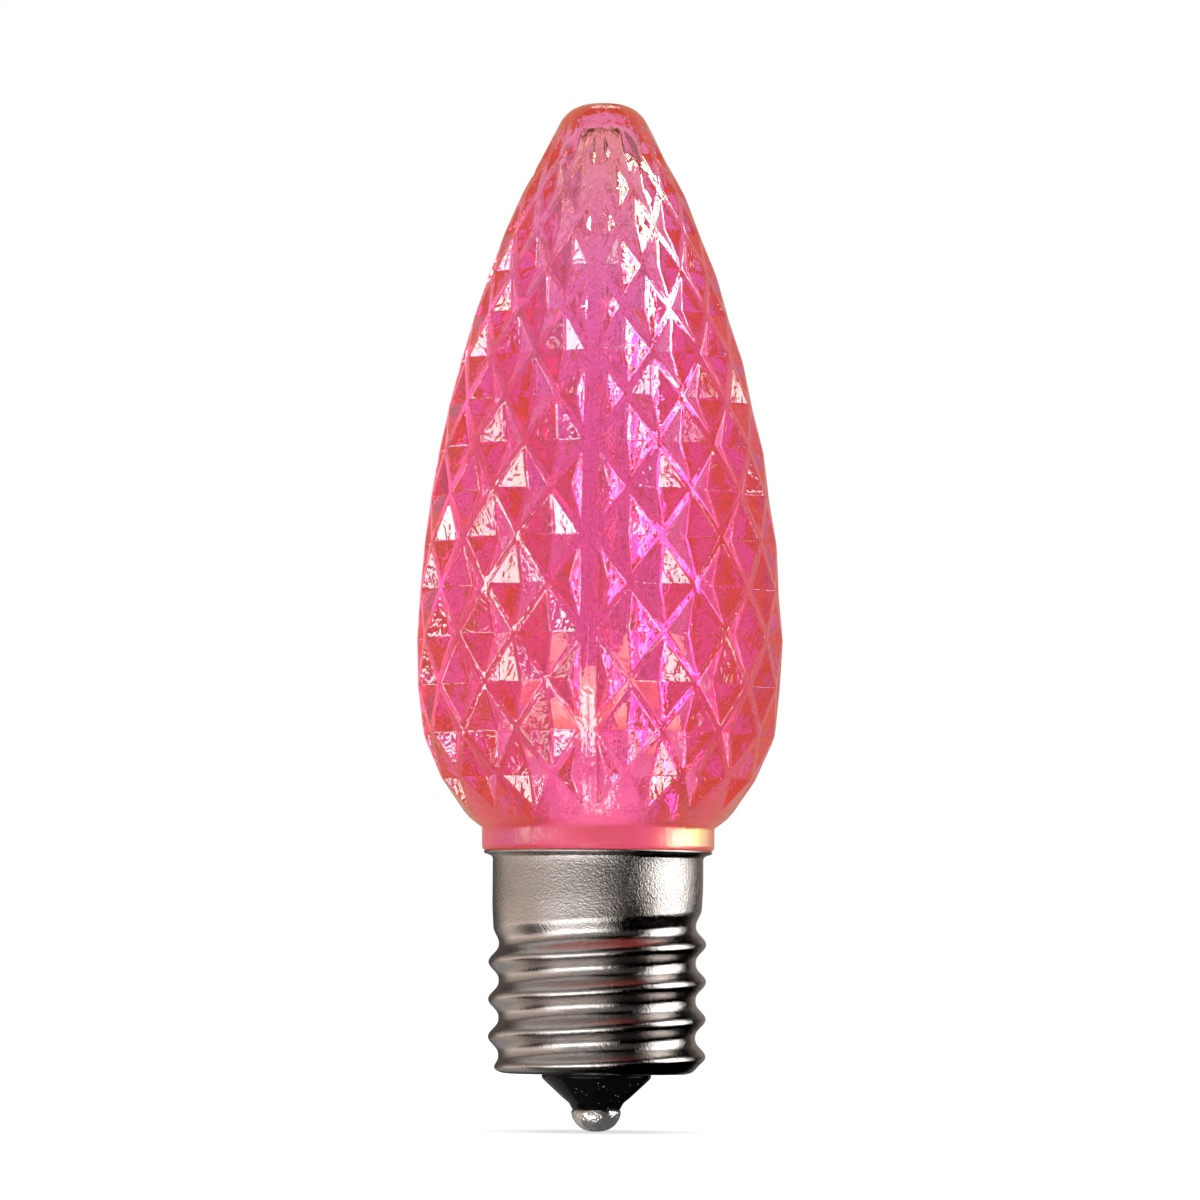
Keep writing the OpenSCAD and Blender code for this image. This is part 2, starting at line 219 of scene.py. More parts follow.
def span(nt, fac, lo, hi, a=0.0, b=1.0):
    m = nt.nodes.new("ShaderNodeMapRange")
    for k, v in zip(("From Min", "From Max", "To Min", "To Max"), (a, b, lo, hi)):
        m.inputs[k].default_value = v
    nt.links.new(fac, m.inputs["Value"])
    return m.outputs["Result"]


def bump(nt, height, distance_mm, strength=1.0, normal=None):
    b = nt.nodes.new("ShaderNodeBump")
    b.inputs["Strength"].default_value = strength
    b.inputs["Distance"].default_value = distance_mm * MM
    nt.links.new(height, b.inputs["Height"])
    if normal is not None:
        nt.links.new(normal, b.inputs["Normal"])
    return b.outputs["Normal"]


def math_node(nt, op, a, b=None, clamp=False):
    n = nt.nodes.new("ShaderNodeMath")
    n.operation = op
    n.use_clamp = clamp
    for k, v in enumerate((a, b)):
        if v is None:
            continue
        if isinstance(v, (int, float)):
            n.inputs[k].default_value = v
        else:
            nt.links.new(v, n.inputs[k])
    return n.outputs[0]


def split_xyz(nt, vector=None):
    n = nt.nodes.new("ShaderNodeSeparateXYZ")
    nt.links.new(vector or coords(nt), n.inputs[0])
    return n.outputs


def lens_material():
    """Clear pink moulded plastic: sharp on the facets, frosted below them, streaked inside the hollow."""
    m, nt, out = new_material("pink_lens")
    b = principled(nt, IOR=1.56, Transmission_Weight=1.0)
    x, y, zz = split_xyz(nt)
    # The tint is deepest at the collar and the tip, in millimetres of height over 100
    high = span(nt, zz, 0.0, 1.0, 0.0, 0.1)
    tint = ramp(nt, high, [(0.228, (1.0, 0.56, 0.62)), (0.24, (1.0, 0.84, 0.88)), (0.262, (1.0, 1.0, 1.0)),
                           (0.62, (1.0, 1.0, 1.0)), (0.72, (1.0, 0.93, 0.80)), (0.78, (1.0, 0.93, 0.66))])
    rr = math_node(nt, "SQRT", math_node(nt, "ADD", math_node(nt, "MULTIPLY", x, x), math_node(nt, "MULTIPLY", y, y)))
    # 1 on the hollow's wall, 0 outside; the wall draws in above 64 mm
    edge = span(nt, zz, 0.0065, 0.0021, 0.064, 0.076)
    inside = math_node(nt, "GREATER_THAN", edge, rr)
    # Faint flow lines left by moulding
    flow = ramp(nt, noise(nt, 650, 1.0, swirl=2.5), [
        (0.38, (1.0, 1.0, 1.0)), (0.40, (0.55, 0.38, 0.46)), (0.42, (1.0, 1.0, 1.0)), (0.50, (1.0, 1.0, 1.0)),
        (0.515, (0.58, 0.40, 0.50)), (0.53, (1.0, 1.0, 1.0)), (0.62, (0.60, 0.42, 0.50)), (0.64, (1.0, 1.0, 1.0))])
    both = nt.nodes.new("ShaderNodeMix")
    both.data_type, both.blend_type = "RGBA", "MULTIPLY"
    nt.links.new(math_node(nt, "MULTIPLY", span(nt, zz, 0.0, 0.75, 0.0235, 0.026), math_node(nt, "SUBTRACT", 1.0, inside)),
                 both.inputs[0])
    nt.links.new(tint, both.inputs[6])
    nt.links.new(flow, both.inputs[7])
    nt.links.new(both.outputs[2], b.inputs["Base Color"])
    facet = span(nt, zz, 0.0, 1.0, 0.0232, 0.0244)
    upper = span(nt, zz, 0.0, 1.0, 0.058, 0.076)
    slow = noise(nt, 420, 1.5)
    swirl = noise(nt, 620, 1.5, swirl=2.2)
    ripple = noise(nt, 3400, 1.5, stretch=(1, 1, 0.35))
    streak = noise(nt, 1500, 2.0, stretch=(1, 1, 0.045))
    rings = noise(nt, 500, 2.0, stretch=(1, 1, 1.6))
    middle = noise(nt, 1300, 2.5, 0.6)
    outer = math_node(nt, "ADD", math_node(nt, "MULTIPLY", slow, span(nt, upper, 0.9, 4.5)),
                      math_node(nt, "ADD", math_node(nt, "MULTIPLY", ripple, span(nt, zz, 0.9, 0.3, 0.0275, 0.0295)),
                                math_node(nt, "ADD", math_node(nt, "MULTIPLY", middle, 0.7), math_node(nt, "MULTIPLY", swirl, 1.6))))
    inner = math_node(nt, "ADD", math_node(nt, "MULTIPLY", streak, 0.9), math_node(nt, "MULTIPLY", rings, 0.7))
    mix = nt.nodes.new("ShaderNodeMix")
    mix.data_type = "FLOAT"
    nt.links.new(inside, mix.inputs[0])
    nt.links.new(outer, mix.inputs[2])
    nt.links.new(inner, mix.inputs[3])
    nt.links.new(bump(nt, mix.outputs[0], 0.03, 1.0), b.inputs["Normal"])
    nt.links.new(span(nt, facet, 0.3, 0.025), b.inputs["Roughness"])
    nt.links.new(b.outputs["BSDF"], out.inputs["Surface"])
    # Clear pink dye: it takes out green most and blue next. The coral glow is painted light: the plastic emits coral
    # light of its own, in place of the lamp's light soaking into it
    ab = nt.nodes.new("ShaderNodeVolumeAbsorption")
    ab.inputs["Color"].default_value = (0.825, 0.0, 0.69, 1)
    ab.inputs["Density"].default_value = 235.0
    # Painted glow: coral emission through the whole plastic, though it is no lamp
    painted_coral_glow = nt.nodes.new("ShaderNodeEmission")
    painted_coral_glow.inputs["Color"].default_value = (1.0, 0.60, 0.13, 1)
    painted_coral_glow.inputs["Strength"].default_value = 30.5
    add = nt.nodes.new("ShaderNodeAddShader")
    nt.links.new(ab.outputs["Volume"], add.inputs[0])
    nt.links.new(painted_coral_glow.outputs["Emission"], add.inputs[1])
    nt.links.new(add.outputs["Shader"], out.inputs["Volume"])
    return m


def metal_material(name, colour, rough, grain_mm, grain_scale, spread=0.1, plain_from=None):
    m, nt, out = new_material(name)
    b = principled(nt, Metallic=1.0)
    fine = noise(nt, grain_scale, 3.0, 0.6)
    broad = noise(nt, 260, 2.0)
    c = ramp(nt, broad, [(0.3, tuple(0.90 * x for x in colour)), (0.7, colour)])
    nt.links.new(c, b.inputs["Base Color"])
    nt.links.new(span(nt, fine, rough - spread / 2, rough + spread), b.inputs["Roughness"])
    if plain_from is not None:      # the rolled thread is smoother than the plain band over it
        fine = math_node(nt, "MULTIPLY", fine, span(nt, split_xyz(nt)[2], 0.5, 1.0, plain_from - 0.003, plain_from))
    nt.links.new(bump(nt, fine, grain_mm, 0.8), b.inputs["Normal"])
    nt.links.new(b.outputs["BSDF"], out.inputs["Surface"])
    return m


def plastic_material(name, colour, rough, grain_scale=2500, grain_mm=0.004, vary=0.12, **extra):
    m, nt, out = new_material(name)
    b = principled(nt, **extra)
    fine = noise(nt, grain_scale, 2.0)
    broad = noise(nt, 300, 2.0)
    dark = tuple(x * (1 - vary) for x in colour)
    nt.links.new(ramp(nt, broad, [(0.3, dark), (0.7, colour)]), b.inputs["Base Color"])
    nt.links.new(span(nt, fine, rough * 0.8, rough * 1.25), b.inputs["Roughness"])
    nt.links.new(bump(nt, fine, grain_mm, 0.6), b.inputs["Normal"])
    nt.links.new(b.outputs["BSDF"], out.inputs["Surface"])
    return m


lens_mat = lens_material()
nickel = metal_material("nickel_plate", (0.66, 0.605, 0.57), 0.13, 0.075, 6200, 0.07, 0.018)
solder = metal_material("solder", (0.68, 0.66, 0.64), 0.18, 0.22, 1500)
brass = metal_material("brass", (0.72, 0.52, 0.22), 0.25, 0.003, 7000)
# The pink emission on the wires is painted light: it stands in for the lamp's pink light falling on them
tinned = plastic_material("tinned_wire_painted_glow", (0.70, 0.66, 0.66), 0.3, Metallic=0.6, Emission_Color=(1.0, 0.32, 0.5, 1),
                          Emission_Strength=0.45)
black = plastic_material("black_insulator", (0.003, 0.003, 0.003), 0.12, 6000, 0.006, Specular_IOR_Level=0.15)
bnt = black.node_tree
bb = next(n for n in bnt.nodes if n.type == "BSDF_PRINCIPLED")
# Fine pale dust
bnt.links.new(ramp(bnt, noise(bnt, 4200, 1.0, 0.5), [(0.735, (0.003, 0.003, 0.003)), (0.78, (0.45, 0.45, 0.44))]), bb.inputs["Base Color"])
# The pink emission on the LED holder is painted light: it stands in for the lamp's pink light falling on it
white = plastic_material("white_plastic", (0.93, 0.90, 0.92), 0.35, Emission_Color=(1.0, 0.30, 0.52, 1),
                         Emission_Strength=0.4)
green = plastic_material("green_board", (0.05, 0.26, 0.14), 0.35)
dark = plastic_material("black_component", (0.03, 0.03, 0.033), 0.45)
yellow = plastic_material("yellow_capacitor", (0.70, 0.46, 0.05), 0.25)
blue = plastic_material("blue_sleeve", (0.04, 0.05, 0.18), 0.3)
tan = plastic_material("tan_resistor", (0.52, 0.38, 0.22), 0.4)
die = plastic_material("led_die", (0.9, 0.8, 0.3), 0.3)


def led_material():
    m, nt, out = new_material("led_resin")
    b = principled(nt, Base_Color=(1.0, 0.85, 0.6, 1), Roughness=0.12, IOR=1.5, Transmission_Weight=0.6, Emission_Strength=1.25)
    # The glow of the phosphor is brightest in the dome
    high = span(nt, split_xyz(nt)[2], 0.0, 1.0, 0.031, 0.036)
    nt.links.new(ramp(nt, high, [(0.0, (0.14, 0.10, 0.06)), (0.48, (0.10, 0.07, 0.06)), (0.58, (0.6, 1.0, 0.28)),
                                 (1.0, (0.7, 1.0, 0.34))]), b.inputs["Emission Color"])
    nt.links.new(bump(nt, noise(nt, 1500, 2.0), 0.01, 0.4), b.inputs["Normal"])
    nt.links.new(b.outputs["BSDF"], out.inputs["Surface"])
    return m


led_mat = led_material()

# ---------------------------------------------------------------- the lens
RO = 0.10    # rounding of the rib edges
VALLEY = 0.18  # half width of the flat strip down the middle of each pit
GULLY = 0.10   # half width of the rounding across each pit


def pit_cell(s, i, j):
    """Vertices and faces of one facet pit, with rounded ribs and a narrow strip down its middle."""
    cut = 0.42 if j == 0 else -0.42 if j == LAST else 0.0
    a, zc = col_a(s, j + cut), row_z[i]
    corner = [(col_a(s, min(max(j - s, 0), LAST)), zc), (col_a(s, j), row_z[i + 1]),
              (col_a(s, min(max(j + s, 0), LAST)), zc), (col_a(s, j), row_z[i - 1])]
    R = lens_r(zc)
    half_w = R * math.sin(math.radians(HALF_COL)) * (0.58 if cut else 1)
    f = min(RIB_W / 2 * math.hypot(half_w, ROW_STEP) / (half_w * ROW_STEP), 0.42)
    deep = PIT_DEPTH * R / LENS_D * 2 * (0.62 if cut else 1)
    C = [on_lens(*c) for c in corner]
    I = [on_lens(c[0] + f * (a - c[0]), c[1] + f * (zc - c[1])) for c in corner]
    A = on(a, R - deep, zc)
    wide, tall = np.linalg.norm(I[0] - I[2]) / 2, np.linalg.norm(I[1] - I[3]) / 2
    soft = 1 + 1.6 * min(max((zc - 62) / 12, 0), 1)          # the facets are rounder near the tip
    ro = min(RO * soft, 0.08 * wide)
    wv, wh = min(VALLEY, 0.13 * wide), min(GULLY * soft, 0.10 * tall)

    def ring(P):
        """Fourteen points: three at each side corner, four at the top and bottom ones."""
        out = []
        for k in range(4):
            p, q, n = P[k], P[k - 1], P[(k + 1) % 4]
            across = wh if k % 2 == 0 else wv
            span = tall if k % 2 == 0 else wide
            t = min(across / span, 0.3)
            e0, e1 = p + (q - p) * t, p + (n - p) * t
            if k % 2 == 0:
                out += [e0, 0.5 * (e0 + e1), e1]
            else:
                b = min(0.05 / wv, 0.35) / 2
                out += [e0, e0 + (e1 - e0) * b, e1 + (e0 - e1) * b, e1]
        return out

    s1 = [C[k] + (I[k] - C[k]) * (1 - min(ro * 1.2 / max(np.linalg.norm(I[k] - C[k]), 1e-9), 0.5)) for k in range(4)]
    t3 = min(ro * 1.6 / max(np.linalg.norm(A - I[0]), 1e-9), 0.2)
    s3 = [I[k] + (A - I[k]) * t3 for k in range(4)]
    s2 = [0.5 * I[k] + 0.25 * (s1[k] + s3[k]) for k in range(4)]
    rings = [ring(s1), ring(s2), ring(s3)]
    # Middle of the pit: where the strip and the gully meet
    last = rings[-1]
    tv, th = wv / wide, wh / tall
    mid = []
    for k, (p, q, n) in enumerate([(s3[k], s3[k - 1], s3[(k + 1) % 4]) for k in range(4)]):
        # the same offsets from the valley lines, at the pit's middle
        if k % 2 == 0:
            x = (p - A) * tv
            up0, up1 = (q - A) * th, (n - A) * th
            mid += [A + x + up0, A + x, A + x + up1]
        else:
            y = (p - A) * th
            sd0, sd1 = (q - A) * tv, (n - A) * tv
            b = min(0.05 / wv, 0.35)
            mid += [A + y + sd0, A + y + sd0 * (1 - b), A + y + sd1 * (1 - b), A + y + sd1]
    verts = list(C) + [p for r in rings for p in r] + mid + [A]
    n = 14
    start = [0, 3, 7, 10]          # where each corner's points begin in a ring
    count = [3, 4, 3, 4]
    faces = []
    o = 4
    for k in range(4):
        m = (k + 1) % 4
        last_k = o + start[k] + count[k] - 1
        run = [o + start[k] + q for q in range(count[k] - 1, count[k] // 2 - 1, -1)]
        head = [o + start[m] + q for q in range(count[m] // 2, -1, -1)] if count[m] == 3 else \
            [o + start[m] + q for q in range(1, -1, -1)]
        faces.append(tuple([k, m] + head + run))
    # the short side of the top and bottom strips, against their crossings
    for k in (1, 3):
        faces.append((k, o + start[k] + 2, o + start[k] + 1))
    for r in range(3):
        lo, up = o + n * r, o + n * (r + 1)
        for q in range(n):
            w = (q + 1) % n
            faces.append((lo + q, lo + w, up + w, up + q))
    base = o + 3 * n
    for q in range(n):
        faces.append((base + q, base + (q + 1) % n, base + n))
    return verts, faces


def build_lens():
    verts, faces = [], []

    def add(vs, fs):
        n = len(verts)
        verts.extend(vs)
        faces.extend(tuple(n + k for k in f) for f in fs)

    for s in (1, -1):
        for i in range(1, ROWS):
            for j in range((i + 1) % 2, LAST + 1, 2):
                add(*pit_cell(s, i, j))
    # Seam strips, each with a fine flash line along its middle
    for mid in (0.0, 180.0):
        offs = [-SEAM / 2, -0.5, -0.22, 0.22, 0.5, SEAM / 2]
        drop = [0, 0.03, 0, 0, 0.03, 0]
        vs = [on(mid + d, lens_r(row_z[i]) - h, row_z[i]) for i in range(ROWS + 1) for d, h in zip(offs, drop)]
        fs = []
        for i in range(ROWS):
            for k in range(5):
                l, u = 6 * i + k, 6 * (i + 1) + k
                fs.append((l, u, u + 1, l + 1))
        add(vs, fs)
    # Plain rings: below the facets, over the tip
    split = 8
    angles = [SEAM / 2 + k * 2 * HALF_COL / split for k in range(COLS * split + 1)]
    seam_in = [-0.5, -0.22, 0.22, 0.5]
    ring_a = seam_in + angles + [180 + x for x in seam_in] + [-x for x in reversed(angles)]
    n = len(ring_a)

    def ring(r, z, groove=False):
        out = []
        for a in ring_a:
            rr = r
            if groove and abs(abs((a % 360) - 270)) < 3.2:
                rr = r - 0.8
            out.append(on(a, rr, z))
        return out

    R0 = lens_r(row_z[0])
    foot = [(R0, row_z[0]), (lens_r(LENS_Z + 0.42), LENS_Z + 0.42), (lens_r(LENS_Z + 0.2), LENS_Z + 0.2),
            (8.83, LENS_Z + 0.06), (8.8, LENS_Z - 0.04), (8.8, LENS_Z - 0.2), (8.8, LENS_Z - 0.9),
            (8.8, LIP_Z + 0.34), (8.79, LIP_Z + 0.24), (8.75, LIP_Z + 0.14), (8.68, LIP_Z + 0.06), (8.58, LIP_Z + 0.01),
            (8.5, LIP_Z)]
    vs = [p for r, z in foot for p in ring(r, z)]
    # The rings at the facets' edge dip with the flash line's two hairline grooves
    for a_i, a in enumerate(ring_a):
        if a in (-0.5, 0.5, 179.5, 180.5):
            vs[a_i] = on(a, R0 - 0.03, row_z[0])
    neck = [(7.6, LIP_Z, False), (7.6, LIP_Z - 0.02, True), (7.6, LIP_Z - 3.9, True), (7.25, LIP_Z - 4.3, True),
            (6.1, LIP_Z - 4.3, False)]
    vs += [p for r, z, g in neck for p in ring(r, z, g)]
    # The hollow
    hollow = [(LIP_Z - 4.3, 6.1), (LIP_Z + 1, 6.1), (LENS_Z + 12.1, 5.6), (LENS_Z + 25, 5.25), (LENS_Z + 36.4, 5.0),
              (LENS_Z + 42, 4.5), (LENS_Z + 47, 3.6), (LENS_Z + 50.8, 2.3), (LENS_Z + 52.2, 1.45)]
    zs = list(np.linspace(LIP_Z - 3.9, LENS_Z + 52.2, 60))
    for z in zs:
        vs += ring(smooth_curve(hollow, z), z)
    top = LENS_Z + 52.83
    for t in (30, 55, 75):
        vs += ring(1.45 * math.cos(math.radians(t)), LENS_Z + 52.2 + (top - LENS_Z - 52.2) * math.sin(math.radians(t)))
    rows = len(vs) // n
    fs = ring_faces(n, rows)
    end = len(vs)
    vs.append((0, 0, top))
    fs += [(end - n + k, end - n + (k + 1) % n, end) for k in range(n)]
    add([np.asarray(v) for v in vs], fs)
    # Over the tip
    ztop, rtop = row_z[ROWS], lens_r(row_z[ROWS])
    vs, cap = [], [(0, 1), (0.1, 0.975), (0.25, 0.925), (0.42, 0.855), (0.56, 0.79), (0.68, 0.71), (0.78, 0.625), (0.86, 0.535), (0.92, 0.43), (0.96, 0.32), (0.985, 0.19)]
    for q, w in cap:
        for a in ring_a:
            vs.append(on(a, rtop * w, ztop + q * (TIP_Z - ztop)))
    for a_i, a in enumerate(ring_a):
        if a in (-0.5, 0.5, 179.5, 180.5):
            vs[a_i] = on(a, rtop - 0.03, ztop)
    fs = ring_faces(n, len(cap), flip=True)
    end = len(vs)
    vs.append(np.array((0, 0, TIP_Z)))
    fs += [(end - n + (k + 1) % n, end - n + k, end) for k in range(n)]
    add(vs, fs)
    # Plain triangles between the outermost pits
    for s in (1, -1):
        for j in range(1, LAST, 2):
            for row, edge, up in ((0, 1, False), (ROWS, ROWS - 1, True)):
                apex = on_lens(col_a(s, j), row_z[edge])
                base = [on_lens(s * (SEAM / 2 + (j - 1) * HALF_COL + k * 2 * HALF_COL / split), row_z[row])
                        for k in range(split + 1)]
                if s < 0:
                    base = base[::-1]
                vs = [apex] + base
                fs = [((0, k + 1, k + 2) if up else (0, k + 2, k + 1)) for k in range(split)]
                add(vs, fs)
    o = make_piece("faceted_lens", verts, faces, lens_mat, ("lens",), merge=2e-3)
    wn = o.modifiers.new("weighted", "WEIGHTED_NORMAL")
    wn.mode = "FACE_AREA"
    wn.weight = 80
    wn.keep_sharp = False
    return o


lens = build_lens()

# ---------------------------------------------------------------- the screw shell
PITCH, CREST, ROOT, BAND, LIP_R, SHEET, SHELL_Z = 2.822, 8.23, 7.45, 7.97, 8.64, 0.3, 4.35


def ease(t):
    t = min(max(t, 0.0), 1.0)
    return t * t * (3 - 2 * t)


def thread_r(a, z):
    """The rolled thread; its last root runs out along the helix, under the band's shoulder."""
    a = (a + 180) % 360 - 180
    c = (0.5 + 0.5 * math.cos(2 * math.pi * (z - 4.967 - PITCH * a / 360) / PITCH)) ** 1.35
    r = ROOT + (CREST - ROOT) * c
    u = z - (4.967 + 3.5 * PITCH + PITCH * a / 360)      # height over the last root
    if u > 0:
        up = ROOT + (BAND - 0.1 - ROOT) * ease(u / 1.25) + 0.1 * ease((u - 0.6) / 2.6)
        wave = r + (BAND - r) * ease((u - 0.5 * PITCH) / 0.9)
        r = wave + (up - wave) * ease((a + 178) / 70)
    if a > 100 and u > -0.5 * PITCH:
        r = max(r, BAND - (BAND - r) * (1 - ease((a - 100) / 78)))
    lower = ROOT + 0.05
    return lower + (r - lower) * ease((z - 3.9) / 1.6)


def build_shell():
    sides = 256
    zs = [float(z) for z in np.arange(4.9, 19.0, PITCH / 34)]
    coarse = [float(z) for z in np.arange(4.9, 19.0, PITCH / 9)]
    e = SHEET
    sec = [(SHELL_Z + 0.02, 3.9, 0), (SHELL_Z, 4.2, 0), (SHELL_Z, 6.7, 0), (SHELL_Z + 0.03, -0.62, 1),
           (SHELL_Z + 0.1, -0.38, 1), (SHELL_Z + 0.2, -0.2, 1), (SHELL_Z + 0.33, -0.08, 1), (SHELL_Z + 0.45, -0.02, 1)]
    sec += [(z, 0, 1) for z in zs]
    sec += [(19.1, BAND, 0), (19.8, BAND, 0), (LIP_Z - 0.66, BAND, 0), (LIP_Z - 0.56, BAND + 0.02, 0),
            (LIP_Z - 0.46, BAND + 0.08, 0), (LIP_Z - 0.38, BAND + 0.18, 0), (LIP_Z - 0.31, BAND + 0.33, 0),
            (LIP_Z - 0.27, BAND + 0.48, 0), (LIP_Z - 0.24, BAND + 0.6, 0), (LIP_Z - 0.19, LIP_R - 0.01, 0),
            (LIP_Z - 0.12, LIP_R, 0), (LIP_Z - 0.04, LIP_R - 0.02, 0), (LIP_Z, LIP_R - 0.08, 0),
            (LIP_Z, LIP_R - 0.3, 0), (LIP_Z - 0.14, BAND - 0.02, 0), (LIP_Z - 0.4, BAND - e + 0.02, 0),
            (LIP_Z - 0.6, BAND - e, 0), (19.1, BAND - e, 0)]
    sec += [(z, -e, 1) for z in reversed(coarse)]
    sec += [(SHELL_Z + e, 6.7, 0), (SHELL_Z + e, 3.9, 0)]
    verts = []
    for z, v, mode in sec:
        for k in range(sides):
            a = 360 * k / sides
            verts.append(on(a, thread_r(a, z) + v if mode else v, z))
    faces = ring_faces(sides, len(sec), flip=False)
    last = (len(sec) - 1) * sides
    faces += [(last + k, last + (k + 1) % sides, (k + 1) % sides, k) for k in range(sides)]
    return make_piece("rolled_screw_shell", verts, faces, nickel, ("screw_shell",), merge=0, sharp=50)


shell = build_shell()

# ---------------------------------------------------------------- insulator and contact
insulator = lathe("black_insulator_body", [
    (0.8, 1.7), (1.8, 1.7), (1.84, 1.73), (1.9, 1.84), (1.97, 1.98), (2.04, 2.1), (2.12, 2.2), (2.25, 2.31),
    (2.42, 2.44), (2.6, 2.6), (3.9, 3.8), (4.02, 3.92), (4.1, 4.03), (4.15, 4.13), (4.15, 4.2), (4.11, 4.29),
    (4.03, 4.34), (3.9, 4.35), (3.8, 4.35), (3.8, 4.65),
    (6.2, 4.65), (6.4, 4.9), (6.4, 5.75), (6.1, 6.05), (0.8, 6.05)], black, ("insulator",), sharp=40)


def bead_shape(p, a, r, h):
    t = math.radians(a)
    k = 1 + 0.014 * math.sin(2 * t + 0.6) * (1 - abs(h - 0.8)) + 0.008 * math.sin(5 * t + 2 * h)
    q = p.copy()
    q[0] *= min(k, 1.0)
    q[1] *= min(k, 1.0)
    return q


bead = lathe("solder_bead", [
    (0, 0.0), (0.24, 0.01), (0.48, 0.035), (0.72, 0.09), (0.95, 0.17), (1.16, 0.28), (1.34, 0.41), (1.49, 0.55),
    (1.62, 0.72), (1.72, 0.88), (1.8, 1.04), (1.855, 1.2), (1.885, 1.36), (1.89, 1.48), (1.87, 1.58), (1.82, 1.66),
    (1.76, 1.7), (1.6, 1.7), (1.6, 1.45), (0, 1.45)], solder, ("contact_solder",), wobble=bead_shape)

# ---------------------------------------------------------------- lamp, in the lens
LAMP_Z, LAMP_TIP = 31.0, 35.6
dome = [(0, LAMP_Z), (2.72, LAMP_Z), (2.8, LAMP_Z + 0.08), (2.8, LAMP_Z + 0.8), (2.72, LAMP_Z + 0.88), (2.4, LAMP_Z + 0.9),
        (2.4, LAMP_TIP - 2.1)]
dome += [(2.4 * math.cos(math.radians(t)), LAMP_TIP - 2.1 + 2.1 * math.sin(math.radians(t))) for t in range(8, 90, 8)]
dome += [(0, LAMP_TIP)]
lamp = lathe("lamp_resin", dome, led_mat, ("led_body",), segs=96, sharp=40)

for node, mat in {"contact_eyelet": brass, "led_holder": white, "led_chip": die, "led_anode": tinned,
                  "led_cathode": tinned, "led_bond_wire": brass, "driver_board": green,
                  "bridge_rectifier": dark, "dropper_capacitor": yellow, "smoothing_capacitor": blue,
                  "bleed_resistor": dark, "surge_resistor": tan, "contact_wire": tinned,
                  "shell_wire": tinned}.items():
    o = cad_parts[node]
    for sl in o.material_slots:
        sl.material = mat
    if not o.material_slots:
        o.data.materials.append(mat)

# ---------------------------------------------------------------- studio
scene = bpy.context.scene
scene.view_settings.view_transform = "Standard"

world = bpy.data.worlds.new("studio")
scene.world = world
world.use_nodes = True
wn = world.node_tree
bg = wn.nodes["Background"]
bg.inputs["Color"].default_value = (1, 1, 1, 1)
bg.inputs["Strength"].default_value = 1.0
world.cycles_visibility.glossy = False
world.cycles_visibility.transmission = False

fm, fnt, fout = new_material("pale_floor")
fb = principled(fnt, Base_Color=(0.85, 0.85, 0.85, 1), Roughness=0.9, Emission_Color=(1, 1, 1, 1), Emission_Strength=0.45)
fnt.links.new(fb.outputs["BSDF"], fout.inputs["Surface"])
me = bpy.data.meshes.new("floor")
me.from_pydata([(-3, -3, 0), (3, -3, 0), (3, 3, 0), (-3, 3, 0)], [], [(0, 1, 2, 3)])
me.materials.append(fm)
floor = bpy.data.objects.new("floor", me)
scene.collection.objects.link(floor)
floor.visible_glossy = False
floor.visible_transmission = False

lens_only = bpy.data.collections.new("lens_only")
lens_only.objects.link(lens)


def panel(name, az, el, level, glossy=True, through=True, only=None, dist=2.0, tint=(1, 1, 1)):
    """A curved light panel around the bulb, from one azimuth and height angle to another."""
    pm, pnt, pout = new_material(name + "_light")
    e = pnt.nodes.new("ShaderNodeEmission")
    e.inputs["Color"].default_value = (*tint, 1)
    e.inputs["Strength"].default_value = level
    # See-through, so that panels behind it add to it
    mix = pnt.nodes.new("ShaderNodeAddShader")
    pnt.links.new(e.outputs["Emission"], mix.inputs[0])
    pnt.links.new(pnt.nodes.new("ShaderNodeBsdfTransparent").outputs[0], mix.inputs[1])
    pnt.links.new(mix.outputs[0], pout.inputs["Surface"])
    na, ne = max(1, round((az[1] - az[0]) / 6)), max(1, round((el[1] - el[0]) / 6))
    vs, fs = [], []
    for i in range(ne + 1):
        for k in range(na + 1):
            t = math.radians(az[0] + (az[1] - az[0]) * k / na)
            u = math.radians(el[0] + (el[1] - el[0]) * i / ne)
            vs.append((dist * math.sin(t) * math.cos(u), -dist * math.cos(t) * math.cos(u), dist * math.sin(u) + 0.04))
    for i in range(ne):
        for k in range(na):
            q = i * (na + 1) + k
            fs.append((q, q + 1, q + na + 2, q + na + 1))
    pme = bpy.data.meshes.new(name)
    pme.from_pydata(vs, [], fs)
    pme.materials.append(pm)
    o = bpy.data.objects.new(name, pme)
    scene.collection.objects.link(o)
    o.visible_camera = False
    o.visible_diffuse = False
    o.visible_shadow = False
    o.visible_glossy = glossy
    o.visible_transmission = through
    if only is not None:
        o.light_linking.receiver_collection = only
    return o


metal_only = bpy.data.collections.new("metal_only")
for o in (shell, insulator, bead):
    metal_only.objects.link(o)
bead_only = bpy.data.collections.new("bead_only")
bead_only.objects.link(bead)
WARM = (1.0, 0.87, 0.79)
